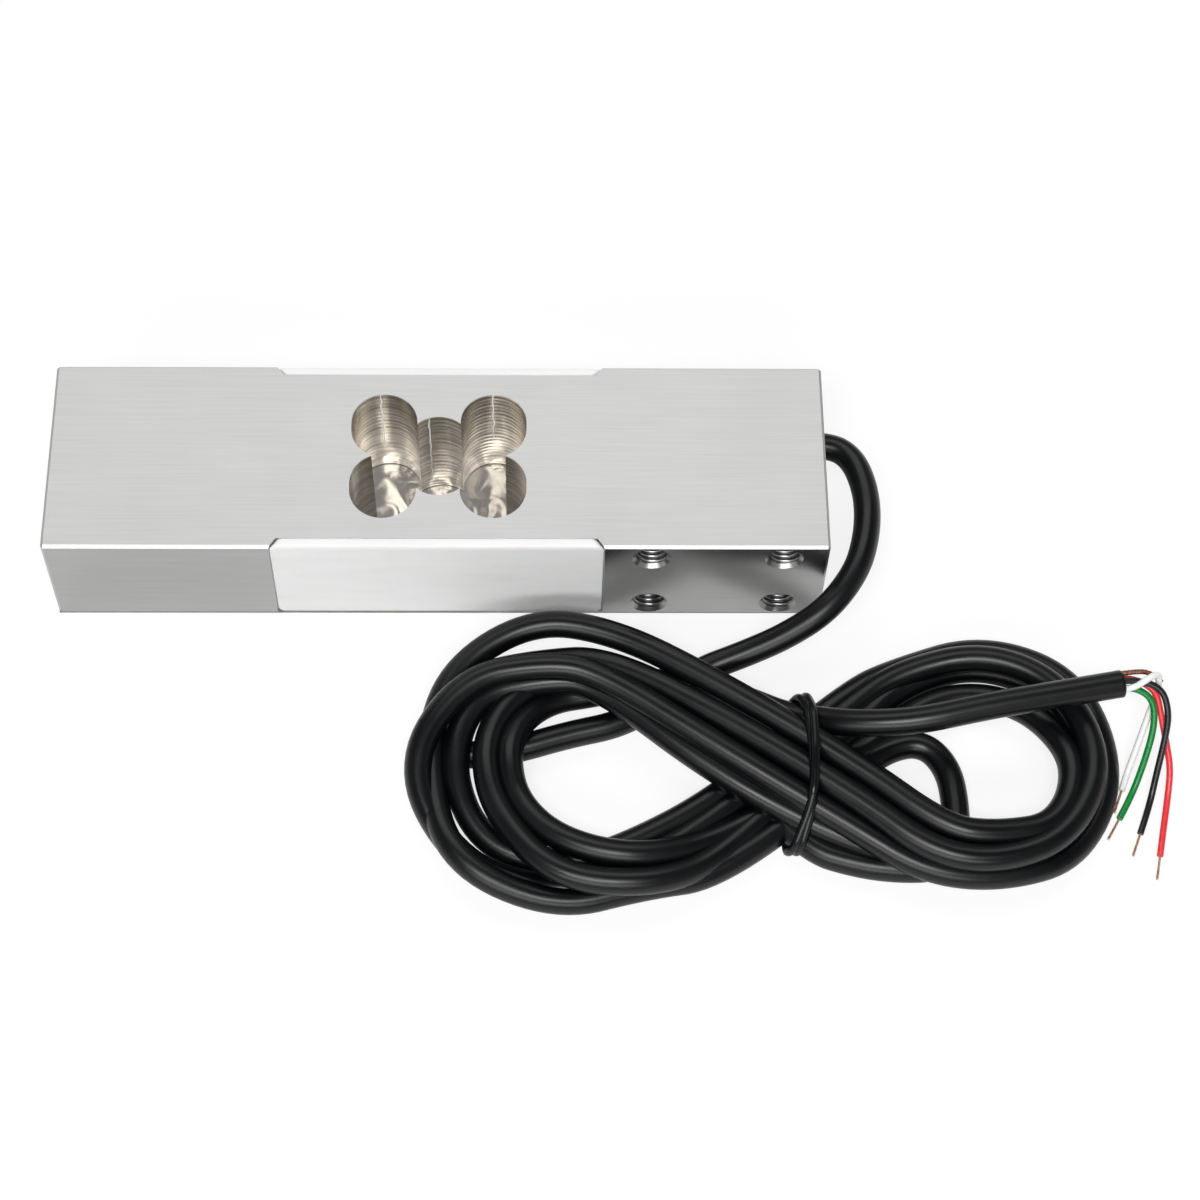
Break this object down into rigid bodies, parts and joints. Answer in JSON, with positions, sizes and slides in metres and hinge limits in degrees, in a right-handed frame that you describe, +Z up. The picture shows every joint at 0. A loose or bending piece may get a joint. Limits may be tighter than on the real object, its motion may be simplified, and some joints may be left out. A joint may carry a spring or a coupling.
{
  "type": "straight bar load cell",
  "caption": "Straight bar load cell: a machined aluminium bar with a clover-shaped flexure cavity, potted gauge recesses, tapped mounting holes and a coiled black signal cable",
  "frame": {"origin": "centre of the bar's bottom face as it lies on its wide side", "axes": "+X along the bar towards the cable end, +Y to the rear face, +Z up through the cavity"},
  "size_m": [0.2157, 0.1088, 0.026],
  "materials": {
    "machined_aluminium": "fine machined finish, brushed along the bar",
    "white_silicone": "satin, poured flush with the face",
    "gauge_film": "amber polyimide film with a foil grid",
    "terminal_board": "glass-epoxy board",
    "resistor_body": "chip resistor",
    "tinned_wire": "tinned copper wire",
    "inner_insulation": "thin wire insulation",
    "seal_rubber": "cured sealing compound",
    "cable_sheath": "satin black extruded sheath",
    "band_rubber": "matt rubber band",
    "red_insulation": "extruded core insulation",
    "black_insulation": "extruded core insulation",
    "green_insulation": "extruded core insulation",
    "white_insulation": "extruded core insulation",
    "bare_copper": "bare stranded copper",
    "drain_wire": "bare twisted drain wire"
  },
  "bodies": {
    "root": {"beam_body": "machined_aluminium", "front_potting": "white_silicone", "rear_potting": "white_silicone", "gauge_front_left": "gauge_film", "gauge_front_right": "gauge_film", "gauge_rear_left": "gauge_film", "gauge_rear_right": "gauge_film", "bridge_board": "terminal_board", "rear_terminal": "terminal_board", "trim_resistors": "resistor_body", "front_gauge_leads": "tinned_wire", "rear_gauge_leads": "tinned_wire", "bridge_wires": "inner_insulation", "inner_cores": "inner_insulation", "cable_seal": "seal_rubber", "cable_lead": "cable_sheath", "cable_coil": "cable_sheath", "cable_tail": "cable_sheath", "cable_tie": "band_rubber", "core_red": "red_insulation", "core_black": "black_insulation", "core_green": "green_insulation", "core_white": "white_insulation", "core_strands": "bare_copper", "shield_drain": "drain_wire"}
  },
  "joints": []
}
